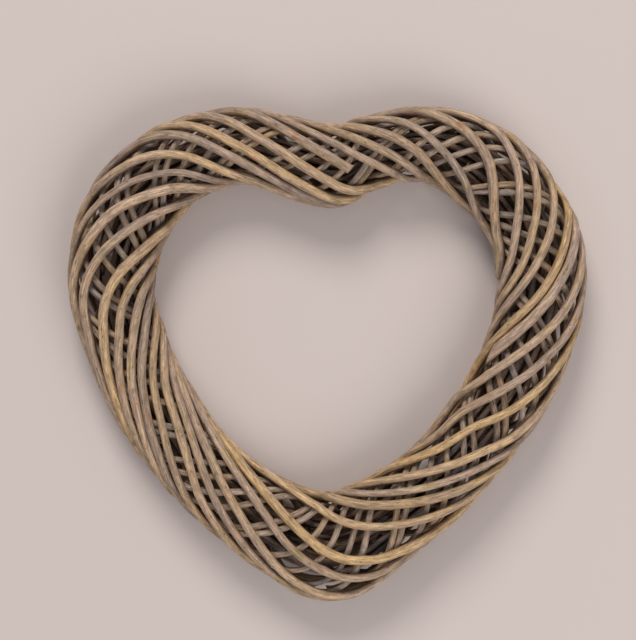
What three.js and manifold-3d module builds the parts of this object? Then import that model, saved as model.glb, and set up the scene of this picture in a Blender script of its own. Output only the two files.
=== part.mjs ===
// Heart-shaped wreath wound from willow rods.
// Millimetres, +Z up. The wreath lies on its back, its front faces up and the notch points along +Y.
// Angles round the band are in degrees: 0 at the outer edge, 90 on the front, 180 at the inner edge.
import * as THREE from "three";
import { mergeVertices } from "three/addons/utils/BufferGeometryUtils.js";
import Module from "manifold-3d";

const wasm = await Module();
wasm.setup();

// The heart
const WREATH_WIDTH = 500;
const BAND_WIDTH = 82;
const BAND_DEPTH = 74;
const FLOOR_TRIM = 1.5;
const CLEARANCE = 0.3;
const LAYER_GAP = 2.5;
const CHORD_ROOM = 4.2;

// The heart's middle line, counter-clockwise as seen from the front. x and y are shares of the
// wreath's width, and full is how much of its usual width the band has there. inner and outer count
// the outer rods that have come up at the inner edge and gone down at the outer edge by then, on a
// heart with as many crossings as CROSSING_SHIFTS lists.
const LANDMARKS = [
  { name: "notch", x: 0.010, y: 0.358, full: 1.02, inner: 4.3, outer: -1.9 },
  { name: "left shoulder", x: -0.154, y: 0.396, full: 0.94, inner: 5.8, outer: 0.2 },
  { name: "left lobe top", x: -0.284, y: 0.364, full: 1.01, inner: 7.9, outer: 2.9 },
  { name: "left lobe side", x: -0.376, y: 0.274, full: 1.11, inner: 9.6, outer: 4.4 },
  { name: "left widest", x: -0.413, y: 0.142, full: 1.07, inner: 11.6, outer: 5.9 },
  { name: "left arm top", x: -0.387, y: 0.027, full: 0.99, inner: 14.0, outer: 6.7 },
  { name: "left arm middle", x: -0.332, y: -0.098, full: 1.00, inner: 17.4, outer: 7.5 },
  { name: "left arm foot", x: -0.223, y: -0.239, full: 0.99, inner: 18.8, outer: 11.7 },
  { name: "left of tip", x: -0.093, y: -0.336, full: 1.13, inner: 19.9, outer: 14.3 },
  { name: "tip", x: 0.017, y: -0.376, full: 1.33, inner: 20.5, outer: 15.4 },
  { name: "right of tip", x: 0.143, y: -0.306, full: 1.08, inner: 22.7, outer: 16.8 },
  { name: "right arm foot", x: 0.243, y: -0.222, full: 1.00, inner: 24.7, outer: 18.4 },
  { name: "right arm middle", x: 0.308, y: -0.140, full: 1.02, inner: 25.3, outer: 20.4 },
  { name: "right arm", x: 0.360, y: -0.065, full: 1.04, inner: 26.7, outer: 21.1 },
  { name: "right arm top", x: 0.406, y: 0.050, full: 1.06, inner: 28.8, outer: 22.6 },
  { name: "right widest", x: 0.417, y: 0.172, full: 1.11, inner: 31.2, outer: 24.4 },
  { name: "right lobe side", x: 0.382, y: 0.274, full: 1.07, inner: 31.7, outer: 27.2 },
  { name: "right lobe top", x: 0.303, y: 0.358, full: 1.07, inner: 33.1, outer: 28.9 },
  { name: "right shoulder", x: 0.204, y: 0.399, full: 0.94, inner: 34.2, outer: 30.1 },
  { name: "right of notch", x: 0.088, y: 0.385, full: 0.90, inner: 36.9, outer: 31.7 },
];

// How many landmarks to either side settle which way is outward. It rounds the notch and the tip.
const OUTWARD_REACH = 0.9;

// Outer rods: thick, slanting from the inner edge up and over to the outer edge.
// Each pair of them winds on end to end through two laps, and is then back where it began.
const OUTER_PAIRS = 7;
const OUTER_PAIR_TURNS = 5;
const OUTER_RODS = 2 * OUTER_PAIRS;
const OUTER_CROSSINGS = OUTER_PAIR_TURNS * OUTER_PAIRS;
const OUTER_BUTT = 9.2;
const OUTER_THIN_END = 7.6;
const OUTER_SIDES = 5;
const OUTER_STEP = 40;
// How far each crossing of the front sits from its even place, as a share of the spacing.
const CROSSING_SHIFTS = [
  -0.05, 0.2, 0.25, 0.0, 0.1, 0.0, -0.15, -0.15, 0.15, 0.1, 0.1, -0.05, 0.05, 0.25, 0.15, -0.05, 0.05, -0.25,
  0.15, 0.2, -0.05, -0.25, 0.0, 0.0, 0.15, 0.3, -0.05, 0.1, -0.05, -0.25, -0.15, 0.05, 0.1, 0.0, 0.05,
];
// Where the cut ends of each pair lie. The angle of each end keeps falling as the rods wind on, and
// skip is how many times the row of pairs goes by before the pair's first crossing.
const OUTER_ENDS = [
  { skip: 0, rods: [[108, -826], [-838, -1594]] },
  { skip: 1, rods: [[230, -500], [-512, -1560]] },
  { skip: 4, rods: [[184, -850], [-862, -1586]] },
  { skip: 2, rods: [[250, -470], [-482, -1540]] },
  { skip: 3, rods: [[150, -840], [-852, -1530]] },
  { skip: 2, rods: [[225, -830], [-842, -1565]] },
  { skip: 1, rods: [[265, -440], [-452, -1525]] },
];

// Cross rods: thinner, steeper, wound the other way under the outer rods.
const CROSS_RODS = 8;
const CROSS_TURNS = 7;
const CROSS_BUTT = 6.6;
const CROSS_THIN_END = 5.6;
const CROSS_SIDES = 4;
const CROSS_STEP = 36;
const CROSS_END_GAP = 0.02;
// How many degrees a cross rod strays to either side, how often in a lap, and how far apart in
// that rhythm two neighbours are.
const CROSS_STRAY = 8;
const CROSS_STRAYS = 3;
const CROSS_STRAY_OFFSET = 0.37;
// How many degrees every other cross rod sits closer to the one before it.
const CROSS_PAIRING = 11;

// Core rods: a bundle that runs lengthwise inside, in two rings.
const CORE_RING = 9;
const CORE_HEART = 2;
const CORE_BUTT = 6.0;
const CORE_THIN_END = 5.2;
const CORE_SIDES = 4;
const CORE_STEP = 43;
const CORE_TURNS = 1;
const CORE_END_GAP = 0.02;
const CORE_HEART_SHARE = 0.35;

// Colours
const BARK_TAN = 0xa8937a;
const BARK_OCHRE = 0xb0925f;
const BARK_GREY = 0x8d7d70;
const CROSS_BARK = 0x7a6c5e;
const CORE_BARK = 0x5a4f4a;
const BARK_ROUGHNESS = 0.85;

function spline(before, from, to, after, share) {
  const square = share * share;
  const cube = square * share;
  const turn = -before + to;
  const bend = 2 * before - 5 * from + 4 * to - after;
  const twist = -before + 3 * from - 3 * to + after;
  return 0.5 * (2 * from + turn * share + bend * square + twist * cube);
}

// A landmark past the end of the list is the same place one lap on.
function landmarkAt(index) {
  const count = LANDMARKS.length;
  const lap = Math.floor(index / count);
  const mark = LANDMARKS[index - lap * count];
  const crossings = OUTER_CROSSINGS / CROSSING_SHIFTS.length;
  return {
    x: mark.x * WREATH_WIDTH,
    y: mark.y * WREATH_WIDTH,
    half: (mark.full * BAND_WIDTH) / 2,
    inner: mark.inner * crossings + lap * OUTER_CROSSINGS,
    outer: mark.outer * crossings + lap * OUTER_CROSSINGS,
  };
}

function between(position, field) {
  const index = Math.floor(position);
  const values = [-1, 0, 1, 2].map((offset) => landmarkAt(index + offset)[field]);
  return spline(...values, position - index);
}

// Even lengths along the middle line: the landmark position of each of many short steps.
function measureLap() {
  const finePerLandmark = 40;
  const steps = LANDMARKS.length * finePerLandmark;
  const lengths = [0];
  for (let step = 1; step <= steps; step += 1) {
    const here = step / finePerLandmark;
    const last = (step - 1) / finePerLandmark;
    const dx = between(here, "x") - between(last, "x");
    const dy = between(here, "y") - between(last, "y");
    lengths.push(lengths[step - 1] + Math.hypot(dx, dy));
  }
  return { finePerLandmark, steps, lengths, total: lengths[steps] };
}

const LAP = measureLap();

// Turns a share of the lap into a landmark position. Whole laps carry over.
function landmarkPosition(share) {
  const lap = Math.floor(share);
  const wanted = (share - lap) * LAP.total;
  let low = 0;
  let high = LAP.steps;
  while (high - low > 1) {
    const middle = (low + high) >> 1;
    if (LAP.lengths[middle] <= wanted) low = middle;
    else high = middle;
  }
  const part = (wanted - LAP.lengths[low]) / (LAP.lengths[high] - LAP.lengths[low]);
  return (low + part) / LAP.finePerLandmark + lap * LANDMARKS.length;
}

// The band's section at a share of the lap: its middle, its outward direction and half its width.
function sectionAt(share) {
  const position = landmarkPosition(share);
  const dx = between(position + OUTWARD_REACH, "x") - between(position - OUTWARD_REACH, "x");
  const dy = between(position + OUTWARD_REACH, "y") - between(position - OUTWARD_REACH, "y");
  const length = Math.hypot(dx, dy);
  return {
    middle: new THREE.Vector3(between(position, "x"), between(position, "y"), BAND_DEPTH / 2 - FLOOR_TRIM),
    outward: new THREE.Vector3(dy / length, -dx / length, 0),
    half: between(position, "half"),
  };
}

// A point round the band, inset from its surface.
function bandPoint(share, degrees, inset) {
  const section = sectionAt(share);
  const angle = THREE.MathUtils.degToRad(degrees);
  const out = (section.half - inset) * Math.cos(angle);
  const up = (BAND_DEPTH / 2 - inset) * Math.sin(angle);
  const point = section.middle.clone().addScaledVector(section.outward, out);
  point.z += up;
  return point;
}

function smoothShare(share) {
  return share * share * (3 - 2 * share);
}

function shiftOf(crossing) {
  const index = (((crossing - 1) % OUTER_CROSSINGS) + OUTER_CROSSINGS) % OUTER_CROSSINGS;
  return CROSSING_SHIFTS[index % CROSSING_SHIFTS.length];
}

// The angle round the band of the rod that makes a given crossing, falling as the share grows.
function outerAngle(share, crossing) {
  const position = landmarkPosition(share);
  const inner = between(position, "inner");
  const outer = between(position, "outer");
  const turns = ((inner + outer) / 2 - crossing) / OUTER_RODS;
  const turn = Math.floor(turns);
  const shift = THREE.MathUtils.lerp(
    shiftOf(crossing + OUTER_RODS * turn),
    shiftOf(crossing + OUTER_RODS * (turn + 1)),
    smoothShare(turns - turn),
  );
  const label = crossing + shift;
  const lapTurn = Math.floor((inner - label) / OUTER_RODS);
  const count = label + lapTurn * OUTER_RODS;
  const acrossFront = inner - outer;
  if (count >= outer) return 180 * ((count - outer) / acrossFront) - 360 * lapTurn;
  return -180 * ((outer - count) / (OUTER_RODS - acrossFront)) - 360 * lapTurn;
}

// The share of the lap where a rod's angle first falls to the wanted one.
function shareAtAngle(crossing, degrees) {
  let low = -1;
  let high = 4;
  while (high - low > 1e-5) {
    const middle = (low + high) / 2;
    if (outerAngle(middle, crossing) > degrees) low = middle;
    else high = middle;
  }
  return low;
}

class RodPath extends THREE.Curve {
  constructor(from, to, pointAt) {
    super();
    this.from = from;
    this.to = to;
    this.pointAt = pointAt;
  }

  getPoint(share, target = new THREE.Vector3()) {
    return target.copy(this.pointAt(THREE.MathUtils.lerp(this.from, this.to, share)));
  }
}

function regularShape(sides) {
  const corners = [];
  for (let side = 0; side < sides; side += 1) {
    const angle = (side / sides) * 2 * Math.PI;
    corners.push(new THREE.Vector2(Math.cos(angle), Math.sin(angle)));
  }
  return new THREE.Shape(corners);
}

// The closest distance between two straight stretches.
function stretchDistance(startA, endA, startB, endB) {
  const alongA = endA.clone().sub(startA);
  const alongB = endB.clone().sub(startB);
  const apart = startA.clone().sub(startB);
  const lengthA = alongA.lengthSq();
  const lengthB = alongB.lengthSq();
  const both = alongA.dot(alongB);
  const shareOfA = alongA.dot(apart);
  const shareOfB = alongB.dot(apart);
  const spread = lengthA * lengthB - both * both;
  let onA = spread > 1e-9 ? THREE.MathUtils.clamp((both * shareOfB - shareOfA * lengthB) / spread, 0, 1) : 0;
  const onB = THREE.MathUtils.clamp((both * onA + shareOfB) / lengthB, 0, 1);
  onA = THREE.MathUtils.clamp((both * onB - shareOfA) / lengthA, 0, 1);
  return apart.addScaledVector(alongA, onA).addScaledVector(alongB, -onB).length();
}

// A rod before it becomes a solid: its path, the points along it and its radius at each of them.
function planRod(name, path, butt, thinEnd, step, sides, color) {
  const steps = Math.round(path.getLength() / step);
  const points = path.getSpacedPoints(steps);
  const radii = points.map((point, index) => THREE.MathUtils.lerp(butt, thinEnd, index / steps) / 2);
  return { name, path, steps, points, radii, sides, color };
}

// Slims a rod where a neighbour leaves it too little room. A fixed neighbour keeps its own radius.
function slimBeside(rod, neighbour, fixed) {
  const reach = 2 * Math.max(OUTER_STEP, CROSS_STEP, CORE_STEP) + OUTER_BUTT;
  for (let a = 0; a < rod.steps; a += 1) {
    for (let b = 0; b < neighbour.steps; b += 1) {
      if (rod.points[a].distanceTo(neighbour.points[b]) > reach) continue;
      const distance = stretchDistance(
        rod.points[a], rod.points[a + 1], neighbour.points[b], neighbour.points[b + 1],
      );
      const theirs = Math.max(neighbour.radii[b], neighbour.radii[b + 1]);
      const room = fixed ? distance - theirs - CLEARANCE : (distance - CLEARANCE) / 2;
      rod.radii[a] = Math.min(rod.radii[a], room);
      rod.radii[a + 1] = Math.min(rod.radii[a + 1], room);
    }
  }
}

function slimLayer(rods, fixedRods) {
  for (const rod of rods) {
    for (const neighbour of fixedRods) slimBeside(rod, neighbour, true);
    for (const neighbour of rods) {
      if (neighbour !== rod) slimBeside(rod, neighbour, false);
    }
  }
}

// Sweeps a section one millimetre in radius along the path, then swells each ring to its own radius.
function rodGeometry(rod) {
  const geometry = new THREE.ExtrudeGeometry(regularShape(rod.sides), {
    steps: rod.steps,
    extrudePath: rod.path,
  });
  const position = geometry.getAttribute("position");
  const vertex = new THREE.Vector3();
  for (let index = 0; index < position.count; index += 1) {
    vertex.fromBufferAttribute(position, index);
    const distances = rod.points.map((point) => point.distanceTo(vertex));
    const ring = distances.indexOf(Math.min(...distances));
    const centre = rod.points[ring];
    vertex.sub(centre).multiplyScalar(rod.radii[ring]).add(centre);
    position.setXYZ(index, vertex.x, vertex.y, vertex.z);
  }
  geometry.deleteAttribute("normal");
  geometry.deleteAttribute("uv");
  return mergeVertices(geometry, 1e-4);
}

// Cuts off what reaches below the surface that the wreath lies on.
function trimToFloor(geometry) {
  const solid = new wasm.Manifold(
    new wasm.Mesh({
      numProp: 3,
      vertProperties: new Float32Array(geometry.getAttribute("position").array),
      triVerts: new Uint32Array(geometry.getIndex().array),
    }),
  );
  const mesh = solid.trimByPlane([0, 0, 1], 0).getMesh();
  const trimmed = new THREE.BufferGeometry();
  trimmed.setAttribute("position", new THREE.BufferAttribute(mesh.vertProperties, 3));
  trimmed.setIndex(new THREE.BufferAttribute(mesh.triVerts, 1));
  return trimmed;
}

function rodMesh(rod) {
  const geometry = rodGeometry(rod);
  geometry.computeBoundingBox();
  const cut = geometry.boundingBox.min.z < 0 ? trimToFloor(geometry) : geometry;
  const material = new THREE.MeshStandardMaterial({ color: rod.color, roughness: BARK_ROUGHNESS, metalness: 0 });
  const mesh = new THREE.Mesh(cut, material);
  mesh.name = rod.name;
  return mesh;
}

function rodName(kind, index) {
  return `${kind}_${String(index + 1).padStart(2, "0")}`;
}

function outerRods() {
  const colors = [BARK_TAN, BARK_GREY, BARK_OCHRE];
  const rods = [];
  for (let pair = 0; pair < OUTER_PAIRS; pair += 1) {
    const ends = OUTER_ENDS[pair % OUTER_ENDS.length];
    const crossing = pair + 1 + OUTER_PAIRS * ends.skip;
    const pointAt = (share) => bandPoint(share, outerAngle(share, crossing), OUTER_BUTT / 2);
    for (const [start, end] of ends.rods) {
      const path = new RodPath(shareAtAngle(crossing, start), shareAtAngle(crossing, end), pointAt);
      const name = rodName("outer_rod", rods.length);
      const color = colors[rods.length % colors.length];
      rods.push(planRod(name, path, OUTER_BUTT, OUTER_THIN_END, OUTER_STEP, OUTER_SIDES, color));
    }
  }
  return rods;
}

function crossRods() {
  const inset = OUTER_BUTT + LAYER_GAP + CROSS_BUTT / 2;
  const rods = [];
  for (let index = 0; index < CROSS_RODS; index += 1) {
    const from = index / CROSS_RODS;
    const to = from + 1 - CROSS_END_GAP;
    const start = (index * 360) / CROSS_RODS - (index % 2) * CROSS_PAIRING;
    const pointAt = (share) => {
      const rhythm = share * CROSS_STRAYS + index * CROSS_STRAY_OFFSET;
      const stray = CROSS_STRAY * Math.sin(2 * Math.PI * rhythm);
      return bandPoint(share, start + share * 360 * CROSS_TURNS + stray, inset);
    };
    const path = new RodPath(from, to, pointAt);
    const name = rodName("cross_rod", index);
    rods.push(planRod(name, path, CROSS_BUTT, CROSS_THIN_END, CROSS_STEP, CROSS_SIDES, CROSS_BARK));
  }
  return rods;
}

function coreRods() {
  const ringInset = OUTER_BUTT + CROSS_BUTT + 2 * LAYER_GAP + CHORD_ROOM + CORE_BUTT / 2;
  const rods = [];
  for (let index = 0; index < CORE_RING + CORE_HEART; index += 1) {
    const inRing = index < CORE_RING;
    const count = inRing ? CORE_RING : CORE_HEART;
    const start = (index * 360) / count;
    const from = (index * 5) / (CORE_RING + CORE_HEART);
    const to = from + 1 - CORE_END_GAP;
    const pointAt = (share) => {
      const degrees = start - share * 360 * CORE_TURNS;
      const edge = bandPoint(share, degrees, ringInset);
      return inRing ? edge : sectionAt(share).middle.lerp(edge, CORE_HEART_SHARE);
    };
    const path = new RodPath(from, to, pointAt);
    const name = rodName("core_rod", index);
    rods.push(planRod(name, path, CORE_BUTT, CORE_THIN_END, CORE_STEP, CORE_SIDES, CORE_BARK));
  }
  return rods;
}

// Moves the rods so that the middle of their box, seen from the front, is at the origin.
function centred(rods) {
  const middle = new THREE.Box3().setFromObject(rods).getCenter(new THREE.Vector3());
  rods.position.set(-middle.x, -middle.y, 0);
  const group = new THREE.Group();
  group.add(rods);
  return group;
}

function wreath() {
  const outer = outerRods();
  const cross = crossRods();
  const core = coreRods();
  slimLayer(outer, []);
  slimLayer(cross, outer);
  slimLayer(core, [...outer, ...cross]);
  const rods = new THREE.Group();
  for (const rod of [...outer, ...cross, ...core]) rods.add(rodMesh(rod));
  return centred(rods);
}

export default wreath();
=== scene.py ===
import math

import bpy
import numpy as np
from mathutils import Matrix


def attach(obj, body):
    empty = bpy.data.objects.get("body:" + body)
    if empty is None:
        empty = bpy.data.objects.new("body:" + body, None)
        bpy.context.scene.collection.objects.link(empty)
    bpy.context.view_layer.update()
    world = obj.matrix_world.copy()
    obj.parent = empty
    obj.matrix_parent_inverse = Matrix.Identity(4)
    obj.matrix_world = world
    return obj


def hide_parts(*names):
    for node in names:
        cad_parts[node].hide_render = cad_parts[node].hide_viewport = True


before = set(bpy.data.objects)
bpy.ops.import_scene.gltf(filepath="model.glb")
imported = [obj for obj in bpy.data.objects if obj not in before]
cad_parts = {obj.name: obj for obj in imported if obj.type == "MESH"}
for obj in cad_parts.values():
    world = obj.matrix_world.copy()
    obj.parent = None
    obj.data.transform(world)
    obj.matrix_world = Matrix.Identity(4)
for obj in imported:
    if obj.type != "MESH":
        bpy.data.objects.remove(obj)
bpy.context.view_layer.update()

# The heart, with its band lying so low that the rods at the back are flat where they bear
WREATH_WIDTH = 0.500
BAND_WIDTH = 0.082
BAND_DEPTH = 0.074
FLOOR_TRIM = 0.0015
# The room between two layers of rods, and the further room round the core
LAYER_GAP = 0.0025
CHORD_ROOM = 0.0042
# How many landmarks the line through them is taken over, each way, to find which way is outward
OUTWARD_REACH = 0.9
# From the landmarks' own middle to the middle of the wreath's box
SHIFT_TO_MIDDLE = (-0.00284, 0.00291, 0.0)

# Name, x and y as shares of the width, how full the band is, and how many outer rods have come up
# at the inner edge and gone down at the outer edge by then.
LANDMARKS = (
    ("notch", 0.010, 0.358, 1.02, 4.3, -1.9),
    ("left shoulder", -0.154, 0.396, 0.94, 5.8, 0.2),
    ("left lobe top", -0.284, 0.364, 1.01, 7.9, 2.9),
    ("left lobe side", -0.376, 0.274, 1.11, 9.6, 4.4),
    ("left widest", -0.413, 0.142, 1.07, 11.6, 5.9),
    ("left arm top", -0.387, 0.027, 0.99, 14.0, 6.7),
    ("left arm middle", -0.332, -0.098, 1.00, 17.4, 7.5),
    ("left arm foot", -0.223, -0.239, 0.99, 18.8, 11.7),
    ("left of tip", -0.093, -0.336, 1.13, 19.9, 14.3),
    ("tip", 0.017, -0.376, 1.33, 20.5, 15.4),
    ("right of tip", 0.143, -0.306, 1.08, 22.7, 16.8),
    ("right arm foot", 0.243, -0.222, 1.00, 24.7, 18.4),
    ("right arm middle", 0.308, -0.140, 1.02, 25.3, 20.4),
    ("right arm", 0.360, -0.065, 1.04, 26.7, 21.1),
    ("right arm top", 0.406, 0.050, 1.06, 28.8, 22.6),
    ("right widest", 0.417, 0.172, 1.11, 31.2, 24.4),
    ("right lobe side", 0.382, 0.274, 1.07, 31.7, 27.2),
    ("right lobe top", 0.303, 0.358, 1.07, 33.1, 28.9),
    ("right shoulder", 0.204, 0.399, 0.94, 34.2, 30.1),
    ("right of notch", 0.088, 0.385, 0.90, 36.9, 31.7),
)
FIELDS = {"x": 1, "y": 2, "full": 3, "inner": 4, "outer": 5}
# How many points are measured from one landmark to the next
LANDMARK_POINTS = 40

# Outer rods. Each pair winds on end to end through two laps and five turns.
OUTER_PAIRS = 7
OUTER_RODS = 2 * OUTER_PAIRS
OUTER_BUTT = 0.0092
OUTER_THIN_END = 0.0076
OUTER_STEP = 0.0028
OUTER_SIDES = 20
OUTER_SEED = 11
# How much longer an outer rod is than the stretch of the lap that it covers
OUTER_DETOUR = 1.1
# Where outer rods can begin and end, in laps, and how closely the place is found
OUTER_LAPS = (-1.0, 4.0)
OUTER_LAP_FINENESS = 1e-5
# How far each crossing of the front lies from its even place, as a share of the step to the next one
CROSSING_SHIFTS = (
    -0.05, 0.2, 0.25, 0.0, 0.1, 0.0, -0.15, -0.15, 0.15, 0.1, 0.1, -0.05,
    0.05, 0.25, 0.15, -0.05, 0.05, -0.25, 0.15, 0.2, -0.05, -0.25, 0.0, 0.0,
    0.15, 0.3, -0.05, 0.1, -0.05, -0.25, -0.15, 0.05, 0.1, 0.0, 0.05,
)
CROSSINGS = len(CROSSING_SHIFTS)
# For each pair, how many times the row of pairs goes by before its first crossing, and for each of its
# two rods the angles where it begins and ends, which keep falling as it winds on, and the slant of its butt.
OUTER_ENDS = (
    (0, ((108, -826, 0.3), (-838, -1594, 0.7))),
    (1, ((230, -500, 0.6), (-512, -1560, 0.8))),
    (4, ((184, -850, 0.4), (-862, -1586, 0.6))),
    (2, ((250, -470, 0.7), (-482, -1540, 0.5))),
    (3, ((160, -840, 2.2), (-852, -1530, 0.6))),
    (2, ((225, -830, 0.5), (-842, -1565, 0.8))),
    (1, ((265, -440, 0.8), (-452, -1525, 0.4))),
)
# The colour of each crossing of the front, from 0 for weathered grey to 1 for ochre.
CROSSING_TONES = (
    0.45, 0.6, 0.7, 0.2, 0.6, 0.25, 0.5, 0.4, 0.8, 0.5, 0.55, 0.25, 0.6, 0.65, 0.4, 0.5, 0.4, 0.9,
    0.65, 0.75, 0.35, 0.6, 0.85, 0.45, 0.4, 0.35, 0.85, 0.5, 0.55, 0.4, 0.45, 0.3, 0.65, 0.5, 0.35,
)
# How thick the rod is at each crossing of the front, beside its even taper.
CROSSING_GIRTHS = (
    1.0, 1.0, 1.0, 1.1, 1.0, 0.85, 1.1, 1.0, 1.1, 1.0, 0.95, 1.05, 0.95, 0.95, 0.9, 1.0, 1.0, 1.05,
    1.0, 1.0, 0.85, 1.0, 1.0, 1.0, 1.0, 1.1, 0.95, 1.0, 1.0, 1.0, 1.05, 0.95, 1.0, 1.0, 0.95,
)

# Cross rods. They stray by a few degrees from an even winding, a few times a lap, and every other one
# lies closer to the one before it.
CROSS_RODS = 8
CROSS_TURNS = 7
CROSS_BUTT = 0.0066
CROSS_THIN_END = 0.0056
CROSS_STEP = 0.0034
CROSS_SIDES = 12
CROSS_SEED = 61
CROSS_DETOUR = 1.25
CROSS_END_GAP = 0.02
CROSS_STRAY = 8
CROSS_STRAYS = 3
CROSS_STRAY_OFFSET = 0.37
CROSS_PAIRING = 11
CROSS_PALENESS = (0.78, 1.22)

# Core rods. Each starts CORE_START_STEPS further round the lap than the one before it, of as many steps
# as there are core rods.
CORE_RING = 9
CORE_HEART = 2
CORE_BUTT = 0.0060
CORE_THIN_END = 0.0052
CORE_STEP = 0.004
CORE_SIDES = 10
CORE_SEED = 91
CORE_TURNS = 1
CORE_END_GAP = 0.02
CORE_HEART_SHARE = 0.35
CORE_START_STEPS = 5

# How much further out the round cross rods lie than their faceted solids, which need more room
CROSS_LIFT = 0.0015

# How uneven the rods are: how far they wander, how pale they are, how many ridges run along them in each
# set of ridges, and how deep those are as a share of the radius
WANDER = 0.001
ROD_PALENESS = (0.9, 1.1)
RIDGES = (1, 2, 3, 5)
RIDGE_DEPTH = 0.035

# Buds: how far apart they sit, how far they keep from a rod's ends, and how they bend and swell it
BUD_SPACING = (0.04, 0.1)
BUD_END_ROOM = 0.01
BUD_KINK = 0.0005
BUD_KINK_LENGTH = 0.012
BUD_SWELL = 0.2
BUD_LENGTH = 0.0035
BUD_SPREAD = 0.7

# Where rods press on each other: the room between them, how many points on each side of a point share
# in the slimming, and the least share of its thickness that a rod keeps
CLEARANCE = 0.0001
SLIMMING_REACH = 3
LEAST_GIRTH = 0.3

# Cut ends: how far from its end a rod has closer points and how close they are, how slanted its two cuts
# usually are and how far they lean to a side, in radians. A cut goes no deeper below the middle of the rod
# than CUT_FLOOR, and matters no further above it than CUT_TOP, both as shares of the radius.
CUT_REACH = 0.024
CUT_STEP = 0.0012
USUAL_SLANTS = (0.5, 0.6)
CUT_LEAN = 0.8
CUT_FLOOR = 0.7
CUT_TOP = 1.5

# How fine each pattern of the bark and of the cut wood is, in features a metre round a rod and along it
GRAIN_FINENESS = {
    "blotches": (100, 13), "moss": (80, 30), "blush": (95, 36), "mottle": (480, 85), "fibres": (1300, 26),
    "peeling": (260, 60), "pores": (420, 190), "specks": (230, 90), "cracks": (700, 16), "cut wood": (900, 5),
}
BARK_RELIEF = 0.0007
SHEEN_TINT = (1.0, 0.86, 0.72, 1.0)
# How far apart along the bark's patterns two rods lie
GRAIN_OFFSET = 3.7

# The photograph's frame: its size, the middle of the wreath in it and the wreath's width in it
PHOTO_WIDTH = 636
PHOTO_HEIGHT = 640
WREATH_MIDDLE_PIXEL = (325.0, 351.5)
WREATH_WIDTH_PIXELS = 518.0
CAMERA_HEIGHT = 2.0
SENSOR_HEIGHT = 36.0
FLOOR_REACH = 6.0


def srgb(red, green, blue):
    """Turns a colour in 0 to 255 into the renderer's linear values."""
    linear = []
    for value in (red, green, blue):
        share = value / 255
        linear.append(share / 12.92 if share <= 0.04045 else ((share + 0.055) / 1.055) ** 2.4)
    return (*linear, 1.0)


# Bark colours. The darkest of each set colours the specks and bud scars, and also the painted shade on the
# inward side of the rods.
OUTER_COLORS = {
    "grey": srgb(155, 134, 121), "tan": srgb(176, 149, 125), "ochre": srgb(196, 162, 117),
    "olive": srgb(158, 140, 90), "rust": srgb(184, 126, 86), "peeled": srgb(224, 206, 182),
    "dark_marks_and_shade": srgb(64, 36, 18),
}
CROSS_COLORS = {
    "grey": srgb(142, 129, 121), "tan": srgb(164, 141, 121), "ochre": srgb(166, 135, 102),
    "olive": srgb(140, 126, 102), "rust": srgb(158, 116, 86), "peeled": srgb(222, 210, 196),
    "dark_marks_and_shade": srgb(56, 33, 18),
}
# Core bark: its own grey-brown, made darker and browner than the outer bark partly as painted shade for the
# deep middle of the band.
CORE_COLORS = {
    "grey": srgb(104, 92, 90), "tan": srgb(118, 96, 80), "ochre": srgb(116, 87, 62),
    "olive": srgb(106, 97, 88), "rust": srgb(102, 72, 50), "peeled": srgb(172, 162, 160),
    "dark_marks_and_shade": srgb(40, 20, 10),
}


def landmark_values(index, field):
    """A landmark past the end of the list is the same place one lap on."""
    lap, mark = np.divmod(index, len(LANDMARKS))
    column = np.array([row[FIELDS[field]] for row in LANDMARKS])
    values = column[mark]
    if field in ("inner", "outer"):
        return values + lap * CROSSINGS
    return values


def between(position, field):
    index = np.floor(position).astype(int)
    share = position - index
    before, start, end, after = (landmark_values(index + offset, field) for offset in (-1, 0, 1, 2))
    bend = 2 * before - 5 * start + 4 * end - after
    twist = -before + 3 * start - 3 * end + after
    return 0.5 * (2 * start + (end - before) * share + bend * share**2 + twist * share**3)


def measure_lap():
    """The landmark position and the length reached at each of many short steps round the heart."""
    position = np.linspace(0, len(LANDMARKS), len(LANDMARKS) * LANDMARK_POINTS + 1)
    x = between(position, "x") * WREATH_WIDTH
    y = between(position, "y") * WREATH_WIDTH
    length = np.concatenate([[0], np.cumsum(np.hypot(np.diff(x), np.diff(y)))])
    return position, length / length[-1], length[-1]


LAP_POSITION, LAP_SHARE, LAP_LENGTH = measure_lap()


def landmark_position(share):
    lap = np.floor(share)
    return np.interp(share - lap, LAP_SHARE, LAP_POSITION) + lap * len(LANDMARKS)


def band_section(share):
    """The middle of the band, its outward direction and half its width at shares of the lap."""
    position = landmark_position(share)
    dx = between(position + OUTWARD_REACH, "x") - between(position - OUTWARD_REACH, "x")
    dy = between(position + OUTWARD_REACH, "y") - between(position - OUTWARD_REACH, "y")
    length = np.hypot(dx, dy)
    height = np.full_like(length, BAND_DEPTH / 2 - FLOOR_TRIM)
    x = between(position, "x") * WREATH_WIDTH
    y = between(position, "y") * WREATH_WIDTH
    middle = np.stack([x, y, height], axis=1) + np.array(SHIFT_TO_MIDDLE)
    outward = np.stack([dy / length, -dx / length, np.zeros_like(length)], axis=1)
    return middle, outward, between(position, "full") * BAND_WIDTH / 2


def band_line(share, degrees, inset):
    """Points round the band, inset from its surface, and the direction away from its middle there."""
    middle, outward, half = band_section(share)
    angle = np.radians(degrees)
    up = np.array([0.0, 0.0, 1.0])
    out_reach = (half - inset)[:, None] * np.cos(angle)[:, None]
    up_reach = (BAND_DEPTH / 2 - inset) * np.sin(angle)[:, None]
    points = middle + outward * out_reach + up * up_reach
    away = outward * np.cos(angle)[:, None] + up * np.sin(angle)[:, None]
    return points, away


def smooth_share(share):
    return share * share * (3 - 2 * share)


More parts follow.
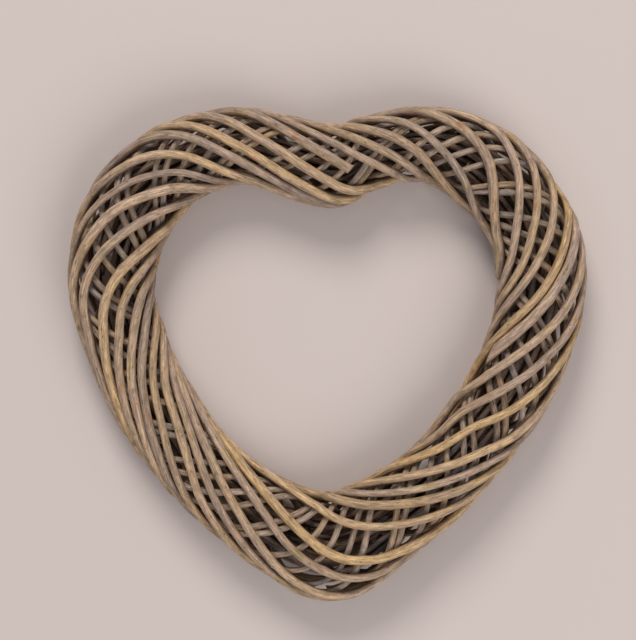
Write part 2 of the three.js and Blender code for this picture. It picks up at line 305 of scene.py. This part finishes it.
def along_crossings(values, crossing, turns):
    """A value given for each crossing of the front, carried smoothly along a rod."""
    table = np.array(values)
    turn = np.floor(turns).astype(int)
    here = table[(crossing + OUTER_RODS * turn - 1) % CROSSINGS]
    following = table[(crossing + OUTER_RODS * (turn + 1) - 1) % CROSSINGS]
    return here + (following - here) * smooth_share(turns - turn)


def outer_turns(share, crossing):
    position = landmark_position(share)
    return ((between(position, "inner") + between(position, "outer")) / 2 - crossing) / OUTER_RODS


def outer_angle(share, crossing):
    """The angle round the band of the rod that makes a given crossing, falling as the share grows."""
    position = landmark_position(share)
    inner = between(position, "inner")
    outer = between(position, "outer")
    label = crossing + along_crossings(CROSSING_SHIFTS, crossing, outer_turns(share, crossing))
    lap_turn = np.floor((inner - label) / OUTER_RODS)
    count = label + lap_turn * OUTER_RODS
    front = 180 * (count - outer) / (inner - outer)
    back = -180 * (outer - count) / (OUTER_RODS - (inner - outer))
    return np.where(count >= outer, front, back) - 360 * lap_turn


def share_at_angle(crossing, degrees):
    """The share of the lap where a rod's angle first falls to the wanted one."""
    low, high = OUTER_LAPS
    while high - low > OUTER_LAP_FINENESS:
        middle = (low + high) / 2
        if outer_angle(np.array([middle]), crossing)[0] > degrees:
            low = middle
        else:
            high = middle
    return low


def waves(length, wavelength, random):
    """A smooth uneven line along a rod, roughly from -1 to 1."""
    total = np.zeros_like(length)
    for factor, weight in ((1.0, 0.6), (0.53, 0.3), (0.29, 0.15)):
        total += weight * np.sin(2 * math.pi * (length / (wavelength * factor) + random.random()))
    return total


def bud_places(length, random):
    """Where the buds sat: how far along the rod, the angle round it, and how strong the scar is."""
    places = []
    closest, furthest = BUD_SPACING
    place = random.uniform(BUD_END_ROOM, furthest)
    angle = random.uniform(0, 2 * math.pi)
    while place < length - BUD_END_ROOM:
        places.append((place, angle, random.uniform(0.5, 1.2)))
        place += random.uniform(closest, furthest)
        angle += 2.4 + random.uniform(-0.4, 0.4)
    return places


class Rod:
    """A rod's middle line and radii, the directions across it and the places of its buds."""

    def __init__(self, node, slot, points, away, butt, thin_end, seed):
        self.node = node
        self.slot = slot
        self.seed = seed
        random = np.random.default_rng(seed)
        self.random = random
        steps = np.linalg.norm(np.diff(points, axis=0), axis=1)
        self.length = np.concatenate([[0], np.cumsum(steps)])
        self.buds = bud_places(self.length[-1], random)
        tangent = np.gradient(points, axis=0)
        tangent /= np.linalg.norm(tangent, axis=1)[:, None]
        away = away - tangent * np.sum(away * tangent, axis=1)[:, None]
        away /= np.linalg.norm(away, axis=1)[:, None]
        self.away = away
        self.side = np.cross(tangent, away)
        sideways = waves(self.length, 0.19, random) * WANDER
        for place, angle, strength in self.buds:
            bend = np.exp(-np.abs(self.length - place) / BUD_KINK_LENGTH)
            sideways += math.sin(angle) * strength * BUD_KINK * bend
        inward = (waves(self.length, 0.13, random) - 1) * WANDER * 0.4
        self.points = points + self.side * sideways[:, None] + self.away * inward[:, None]
        along = np.linspace(butt, thin_end, len(points)) / 2
        self.radii = along * (1 + 0.05 * waves(self.length, 0.09, random))
        self.slants = USUAL_SLANTS
        self.paleness = random.uniform(*ROD_PALENESS)
        self.tones = 0.45 + 0.3 * waves(self.length, 0.4, random)


def slim_beside(rod, neighbour, fixed):
    """The radius that a neighbour leaves a rod at each of its points. A fixed one keeps its own radius."""
    gaps = rod.points[:, None, :] - neighbour.points[None, :, :]
    distances = np.sqrt(np.einsum("ijk,ijk->ij", gaps, gaps))
    nearest = distances.argmin(axis=1)
    distance = distances[np.arange(len(nearest)), nearest]
    theirs = neighbour.radii[nearest]
    if fixed:
        return distance - theirs - CLEARANCE
    return (distance - CLEARANCE) * rod.radii / (rod.radii + theirs)


def over_neighbours(values, pick):
    """Each point's pick among its own value and those of the points next to it along the rod."""
    padded = np.pad(values, SLIMMING_REACH, mode="edge")
    shifted = [padded[shift:shift + len(values)] for shift in range(2 * SLIMMING_REACH + 1)]
    return pick(shifted, axis=0)


def settle(rods, fixed_rods):
    """Slims each rod smoothly where its neighbours press on it, so that none cuts through another."""
    rooms = []
    for rod in rods:
        room = np.full(len(rod.points), 1.0)
        for neighbour in fixed_rods:
            room = np.minimum(room, slim_beside(rod, neighbour, True))
        for neighbour in rods:
            if neighbour is not rod:
                room = np.minimum(room, slim_beside(rod, neighbour, False))
        rooms.append(np.minimum(room, rod.radii))
    for rod, room in zip(rods, rooms):
        smoothed = over_neighbours(over_neighbours(room, np.min), np.mean)
        rod.radii = np.maximum(smoothed, LEAST_GIRTH * rod.radii)


def surface_relief(rod, turn):
    """Shares of the radius by which the bark swells and sinks: flats, ridges and lumps."""
    relief = np.zeros((len(rod.length), len(turn)))
    for ridges in RIDGES:
        drift = 1.5 * waves(rod.length, 0.35, rod.random) + rod.random.uniform(0, 2 * math.pi)
        strength = RIDGE_DEPTH / math.sqrt(ridges) * (1 + 0.8 * waves(rod.length, 0.06, rod.random))
        relief += strength[:, None] * np.cos(ridges * turn[None, :] + drift[:, None])
    return relief


def rod_surface(rod, sides):
    """The rod's rings of points, with how strongly each is marked by a bud."""
    turn = np.arange(sides) / sides * 2 * math.pi
    mark = np.zeros((len(rod.points), sides))
    for place, angle, strength in rod.buds:
        near = np.exp(-(((rod.length - place) / BUD_LENGTH) ** 2))
        apart = np.abs((turn - angle + math.pi) % (2 * math.pi) - math.pi)
        mark += near[:, None] * (0.12 + 0.88 * np.exp(-((apart / BUD_SPREAD) ** 2))) * strength
    reach = rod.radii[:, None] * (1 + surface_relief(rod, turn) + BUD_SWELL * mark)
    across = np.cos(turn)[None, :, None] * rod.away[:, None, :]
    across = across + np.sin(turn)[None, :, None] * rod.side[:, None, :]
    return rod.points[:, None, :] + across * reach[:, :, None], mark, turn


def pare_ends(rod, rings):
    """Cuts both ends at a slant and tells which points lie on the cuts."""
    on_cut = np.zeros(rings.shape[:2], dtype=bool)
    for end, slant in ((0, rod.slants[0]), (-1, rod.slants[1])):
        lean = rod.random.uniform(-CUT_LEAN, CUT_LEAN)
        direction = math.cos(lean) * rod.away[end] + math.sin(lean) * rod.side[end]
        radius = rod.radii[end]
        limit = np.abs(rod.length - rod.length[end]) / slant - radius
        limit = np.maximum(limit, -CUT_FLOOR * radius)
        over = (rings - rod.points[:, None, :]) @ direction - limit[:, None]
        over[limit > CUT_TOP * radius] = 0
        on_cut |= over > 0
        rings -= np.maximum(over, 0)[:, :, None] * direction
    return on_cut


def rod_faces(rings, sides):
    low = (np.arange(rings - 1)[:, None] * sides + np.arange(sides)[None, :]).ravel()
    following = (np.arange(rings - 1)[:, None] * sides + (np.arange(sides) + 1)[None, :] % sides).ravel()
    faces = np.stack([low, following, following + sides, low + sides], axis=1).tolist()
    faces.append(list(range(sides - 1, -1, -1)))
    faces.append(list(range((rings - 1) * sides, rings * sides)))
    return faces


def set_attribute(mesh, name, values, kind="FLOAT"):
    attribute = mesh.attributes.new(name, kind, "POINT")
    field = "vector" if kind == "FLOAT_VECTOR" else "value"
    attribute.data.foreach_set(field, np.ascontiguousarray(values, dtype=np.float32).ravel())


def rod_piece(rod, sides, bark, cut_wood):
    rings, mark, turn = rod_surface(rod, sides)
    on_cut = pare_ends(rod, rings)
    rings[:, :, 2] = np.maximum(rings[:, :, 2], 0.0)
    mesh = bpy.data.meshes.new("willow_" + rod.node)
    mesh.from_pydata(rings.reshape(-1, 3).tolist(), [], rod_faces(len(rod.points), sides))
    following = np.roll(on_cut, -1, axis=1)
    pared = (on_cut[:-1] & following[:-1] & on_cut[1:] & following[1:]).ravel().tolist() + [True, True]
    mesh.polygons.foreach_set("use_smooth", [not face for face in pared])
    mesh.polygons.foreach_set("material_index", [int(face) for face in pared])
    mesh.materials.append(bark)
    mesh.materials.append(cut_wood)
    girth = float(np.mean(rod.radii))
    grain = np.zeros((len(rod.points), sides, 3))
    grain[:, :, 0] = np.cos(turn)[None, :] * girth
    grain[:, :, 1] = np.sin(turn)[None, :] * girth
    grain[:, :, 2] = rod.length[:, None] + rod.seed * GRAIN_OFFSET
    weathering = rod.paleness + 0.1 * waves(rod.length, 0.5, rod.random)
    set_attribute(mesh, "grain", grain, "FLOAT_VECTOR")
    set_attribute(mesh, "bud", mark)
    # How far each point faces out of the band; this sets where the painted shade on the rod's inward side
    # falls.
    set_attribute(mesh, "outside", np.broadcast_to(np.cos(turn), mark.shape))
    set_attribute(mesh, "tone", np.broadcast_to(rod.tones[:, None], mark.shape))
    set_attribute(mesh, "weathering", np.broadcast_to(weathering[:, None], mark.shape))
    mesh.update()
    piece = bpy.data.objects.new("willow_" + rod.node, mesh)
    bpy.context.scene.collection.objects.link(piece)
    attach(piece, "root")
    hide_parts(rod.node)


def rod_shares(start, end, length, step):
    """Shares of the lap along a rod of about this length, closer together near its two cut ends."""
    close = np.arange(0, CUT_REACH, CUT_STEP) / length
    middle = np.linspace(CUT_REACH / length, 1 - CUT_REACH / length, int(length / step))
    return start + (end - start) * np.concatenate([close, middle, 1 - close[::-1]])


class Nodes:
    """A material's node tree, with short calls for the few kinds of node that the barks use."""

    def __init__(self, name):
        self.material = bpy.data.materials.new(name)
        self.material.use_nodes = True
        self.tree = self.material.node_tree
        self.shader = self.tree.nodes["Principled BSDF"]

    def link(self, source, target):
        self.tree.links.new(source, target)

    def make(self, kind, **settings):
        node = self.tree.nodes.new(kind)
        for name, value in settings.items():
            setattr(node, name, value)
        return node

    def attribute(self, name, output="Fac"):
        return self.make("ShaderNodeAttribute", attribute_name=name).outputs[output]

    def stretched(self, around, along):
        """The place on the rod, scaled to so many features a metre round it and along it."""
        node = self.make("ShaderNodeVectorMath", operation="MULTIPLY")
        self.link(self.attribute("grain", "Vector"), node.inputs[0])
        node.inputs[1].default_value = (around, around, along)
        return node.outputs[0]

    def noise(self, fineness, detail=3.0, roughness=0.5):
        node = self.make("ShaderNodeTexNoise")
        self.link(self.stretched(*fineness), node.inputs["Vector"])
        node.inputs["Scale"].default_value = 1.0
        node.inputs["Detail"].default_value = detail
        node.inputs["Roughness"].default_value = roughness
        return node.outputs["Fac"]

    def spots(self, fineness):
        node = self.make("ShaderNodeTexVoronoi")
        self.link(self.stretched(*fineness), node.inputs["Vector"])
        node.inputs["Scale"].default_value = 1.0
        return node.outputs["Distance"]

    def span(self, value, low, high, out_low=0.0, out_high=1.0):
        node = self.make("ShaderNodeMapRange", interpolation_type="SMOOTHSTEP")
        self.link(value, node.inputs["Value"])
        node.inputs["From Min"].default_value = low
        node.inputs["From Max"].default_value = high
        node.inputs["To Min"].default_value = out_low
        node.inputs["To Max"].default_value = out_high
        return node.outputs["Result"]

    def math(self, operation, first, second):
        node = self.make("ShaderNodeMath", operation=operation)
        for socket, value in zip(node.inputs, (first, second)):
            if isinstance(value, (int, float)):
                socket.default_value = value
            else:
                self.link(value, socket)
        return node.outputs[0]

    def ramp(self, value, stops):
        node = self.make("ShaderNodeValToRGB")
        elements = node.color_ramp.elements
        while len(elements) < len(stops):
            elements.new(0.5)
        for element, (place, color) in zip(elements, stops):
            element.position = place
            element.color = color
        self.link(value, node.inputs["Fac"])
        return node.outputs["Color"]

    def shaded(self, color, factor):
        """Multiplies a colour by a number that varies over the surface."""
        return self.mix(1.0, color, factor, "MULTIPLY")

    def mix(self, share, first, second, blend="MIX"):
        node = self.make("ShaderNodeMix", data_type="RGBA", blend_type=blend)
        inputs = (node.inputs["Factor"], node.inputs[6], node.inputs[7])
        for socket, value in zip(inputs, (share, first, second)):
            if isinstance(value, (int, float, tuple)):
                socket.default_value = value
            else:
                self.link(value, socket)
        return node.outputs[2]

    def bump(self, height, distance, strength):
        node = self.make("ShaderNodeBump")
        node.inputs["Distance"].default_value = distance
        node.inputs["Strength"].default_value = strength
        self.link(height, node.inputs["Height"])
        self.link(node.outputs["Normal"], self.shader.inputs["Normal"])


def bark_color(nodes, colors, mottle, fibres, peel, specks):
    """Grey to ochre in blotches, mossy and rusty patches, streaks, flecks, pores, specks and bud scars, with
    painted shade on the side of the rod that faces into the band.
    """
    blotches = nodes.noise(GRAIN_FINENESS["blotches"], 4, 0.6)
    spread = nodes.math("MULTIPLY", nodes.math("SUBTRACT", blotches, 0.5), 1.4)
    where = nodes.math("ADD", nodes.attribute("tone"), spread)
    color = nodes.ramp(where, ((0.1, colors["grey"]), (0.45, colors["tan"]), (0.9, colors["ochre"])))
    moss = nodes.span(nodes.noise(GRAIN_FINENESS["moss"], 4), 0.6, 0.7, 0.0, 0.6)
    color = nodes.mix(moss, color, colors["olive"])
    blush = nodes.span(nodes.noise(GRAIN_FINENESS["blush"], 3), 0.62, 0.72, 0.0, 0.6)
    color = nodes.mix(blush, color, colors["rust"])
    color = nodes.shaded(color, nodes.span(mottle, 0.32, 0.7, 0.62, 1.34))
    color = nodes.shaded(color, nodes.span(fibres, 0.34, 0.66, 0.68, 1.26))
    color = nodes.shaded(color, nodes.attribute("weathering"))
    color = nodes.mix(nodes.math("MULTIPLY", peel, 0.7), color, colors["peeled"])
    pores = nodes.span(nodes.spots(GRAIN_FINENESS["pores"]), 0.1, 0.2, 1.0, 0.0)
    color = nodes.mix(nodes.math("MULTIPLY", pores, 0.3), color, colors["peeled"])
    color = nodes.mix(nodes.math("MULTIPLY", specks, 0.6), color, colors["dark_marks_and_shade"])
    bud = nodes.span(nodes.attribute("bud"), 0.2, 0.9, 0.0, 0.45)
    color = nodes.mix(bud, color, colors["dark_marks_and_shade"])
    # Painted shade: the side of each rod that faces into the band is darkened towards the dark colour, as if
    # shaded by the rods around it.
    painted_inner_shade = nodes.span(nodes.attribute("outside"), -0.9, 0.3, 0.7, 0.0)
    return nodes.mix(painted_inner_shade, color, colors["dark_marks_and_shade"])


def bark_height(nodes, mottle, fibres, peel, specks):
    """Fibres, cracks and lumps stand out, and peeled flecks and specks sink in."""
    cracks = nodes.noise(GRAIN_FINENESS["cracks"], 2)
    height = nodes.math("ADD", nodes.math("MULTIPLY", fibres, 0.5), nodes.math("MULTIPLY", cracks, 0.6))
    for pattern, strength in ((mottle, 0.6), (peel, -0.2), (specks, -0.25)):
        height = nodes.math("ADD", height, nodes.math("MULTIPLY", pattern, strength))
    return height


def bark_material(name, colors, rough, shine):
    """Dry willow bark."""
    nodes = Nodes(name)
    mottle = nodes.noise(GRAIN_FINENESS["mottle"], 4, 0.7)
    fibres = nodes.noise(GRAIN_FINENESS["fibres"], 5, 0.7)
    peel = nodes.span(nodes.noise(GRAIN_FINENESS["peeling"], 5, 0.6), 0.69, 0.715)
    specks = nodes.span(nodes.spots(GRAIN_FINENESS["specks"]), 0.08, 0.17, 1.0, 0.0)
    nodes.link(bark_color(nodes, colors, mottle, fibres, peel, specks), nodes.shader.inputs["Base Color"])
    nodes.link(nodes.span(mottle, 0.35, 0.65, rough + 0.14, rough - 0.12), nodes.shader.inputs["Roughness"])
    nodes.bump(bark_height(nodes, mottle, fibres, peel, specks), BARK_RELIEF, 0.9)
    nodes.shader.inputs["Specular IOR Level"].default_value = shine
    nodes.shader.inputs["Specular Tint"].default_value = SHEEN_TINT
    return nodes.material


def cut_wood_material():
    """The face of a cut end: weathered pale wood."""
    nodes = Nodes("cut_willow")
    rings = nodes.noise(GRAIN_FINENESS["cut wood"], 3)
    color = nodes.ramp(rings, ((0.3, srgb(150, 126, 96)), (0.7, srgb(198, 178, 146))))
    nodes.link(color, nodes.shader.inputs["Base Color"])
    nodes.shader.inputs["Roughness"].default_value = 0.8
    return nodes.material


def outer_rods():
    slots = ("bark_tan", "bark_grey", "bark_ochre")
    rods = []
    for pair, (skip, spans) in enumerate(OUTER_ENDS):
        crossing = pair + 1 + OUTER_PAIRS * skip
        for start, end, slant in spans:
            first = share_at_angle(crossing, start)
            last = share_at_angle(crossing, end)
            share = rod_shares(first, last, (last - first) * LAP_LENGTH * OUTER_DETOUR, OUTER_STEP)
            turns = outer_turns(share, crossing)
            points, away = band_line(share, outer_angle(share, crossing), OUTER_BUTT / 2)
            number = len(rods)
            rod = Rod(f"outer_rod_{number + 1:02d}", slots[number % 3], points, away,
                      OUTER_BUTT, OUTER_THIN_END, OUTER_SEED + number)
            rod.radii *= along_crossings(CROSSING_GIRTHS, crossing, turns)
            rod.tones = along_crossings(CROSSING_TONES, crossing, turns)
            rod.slants = (slant, USUAL_SLANTS[1])
            rods.append(rod)
    return rods


def cross_rods():
    inset = OUTER_BUTT + LAYER_GAP - CROSS_LIFT + CROSS_BUTT / 2
    rods = []
    for index in range(CROSS_RODS):
        start = index / CROSS_RODS
        share = rod_shares(start, start + 1 - CROSS_END_GAP, LAP_LENGTH * CROSS_DETOUR, CROSS_STEP)
        stray = CROSS_STRAY * np.sin(2 * math.pi * (share * CROSS_STRAYS + index * CROSS_STRAY_OFFSET))
        place = index * 360 / CROSS_RODS - (index % 2) * CROSS_PAIRING
        degrees = place + share * 360 * CROSS_TURNS + stray
        points, away = band_line(share, degrees, inset)
        rod = Rod(f"cross_rod_{index + 1:02d}", "cross_bark", points, away,
                  CROSS_BUTT, CROSS_THIN_END, CROSS_SEED + index)
        rod.paleness = rod.random.uniform(*CROSS_PALENESS)
        rods.append(rod)
    return rods


def core_rods():
    inset = OUTER_BUTT + CROSS_BUTT + 2 * LAYER_GAP + CHORD_ROOM + CORE_BUTT / 2
    rods = []
    for index in range(CORE_RING + CORE_HEART):
        in_ring = index < CORE_RING
        count = CORE_RING if in_ring else CORE_HEART
        start = index * CORE_START_STEPS / (CORE_RING + CORE_HEART)
        share = rod_shares(start, start + 1 - CORE_END_GAP, LAP_LENGTH, CORE_STEP)
        degrees = index * 360 / count - share * 360 * CORE_TURNS
        points, away = band_line(share, degrees, inset)
        if not in_ring:
            middle = band_section(share)[0]
            points = middle + (points - middle) * CORE_HEART_SHARE
        rods.append(Rod(f"core_rod_{index + 1:02d}", "core_bark", points, away,
                        CORE_BUTT, CORE_THIN_END, CORE_SEED + index))
    return rods


def wreath():
    cut_wood = cut_wood_material()
    layers = (
        (outer_rods(), OUTER_SIDES, bark_material("outer_bark", OUTER_COLORS, 0.5, 0.5)),
        (cross_rods(), CROSS_SIDES, bark_material("cross_bark", CROSS_COLORS, 0.6, 0.4)),
        (core_rods(), CORE_SIDES, bark_material("core_bark", CORE_COLORS, 0.5, 0.3)),
    )
    settled = []
    for rods, sides, bark in layers:
        settle(rods, settled)
        settled += rods
        for rod in rods:
            rod_piece(rod, sides, bark, cut_wood)


def pale_floor():
    mesh = bpy.data.meshes.new("floor")
    reach = FLOOR_REACH
    corners = [(-reach, -reach, 0), (reach, -reach, 0), (reach, reach, 0), (-reach, reach, 0)]
    mesh.from_pydata(corners, [], [(0, 1, 2, 3)])
    material = bpy.data.materials.new("pale_floor")
    material.use_nodes = True
    shader = material.node_tree.nodes["Principled BSDF"]
    shader.inputs["Base Color"].default_value = srgb(207, 194, 188)
    shader.inputs["Roughness"].default_value = 0.9
    mesh.materials.append(material)
    floor = bpy.data.objects.new("floor", mesh)
    bpy.context.scene.collection.objects.link(floor)


def soft_light(name, place, target, size, power, color):
    data = bpy.data.lights.new(name, "AREA")
    data.shape = "DISK"
    data.size = size
    data.energy = power
    data.color = color
    light = bpy.data.objects.new(name, data)
    light.location = place
    direction = np.array(target) - np.array(place)
    yaw = math.atan2(direction[1], direction[0])
    drop = math.atan2(math.hypot(direction[0], direction[1]), -direction[2])
    light.rotation_euler = (drop, 0, yaw - math.pi / 2)
    bpy.context.scene.collection.objects.link(light)


def lights():
    soft_light("window_above", (-0.9, 3.7, 3.5), (0, 0, 0), 2.2, 152, (1.0, 0.965, 0.915))
    soft_light("room_fill", (1.5, -1.9, 2.6), (0, 0, 0), 2.6, 54, (1.0, 0.97, 0.93))
    world = bpy.data.worlds.new("soft_room")
    bpy.context.scene.world = world
    world.use_nodes = True
    background = world.node_tree.nodes["Background"]
    background.inputs["Color"].default_value = (0.82, 0.85, 0.94, 1.0)
    background.inputs["Strength"].default_value = 0.44
    bpy.context.scene.view_settings.view_transform = "Standard"


def camera():
    """Looks straight down on the lying wreath, framed as the photograph frames it."""
    pixel = WREATH_WIDTH / WREATH_WIDTH_PIXELS
    across = (PHOTO_WIDTH / 2 - WREATH_MIDDLE_PIXEL[0]) * pixel + SHIFT_TO_MIDDLE[0]
    up = (WREATH_MIDDLE_PIXEL[1] - PHOTO_HEIGHT / 2) * pixel + SHIFT_TO_MIDDLE[1]
    data = bpy.data.cameras.new("camera")
    view_height = PHOTO_HEIGHT * pixel
    distance = CAMERA_HEIGHT - BAND_DEPTH / 2
    data.sensor_fit = "VERTICAL"
    data.sensor_height = SENSOR_HEIGHT
    data.lens = data.sensor_height * distance / view_height
    piece = bpy.data.objects.new("camera", data)
    piece.location = (across, up, CAMERA_HEIGHT)
    bpy.context.scene.collection.objects.link(piece)
    bpy.context.scene.camera = piece


camera()
lights()
pale_floor()
wreath()
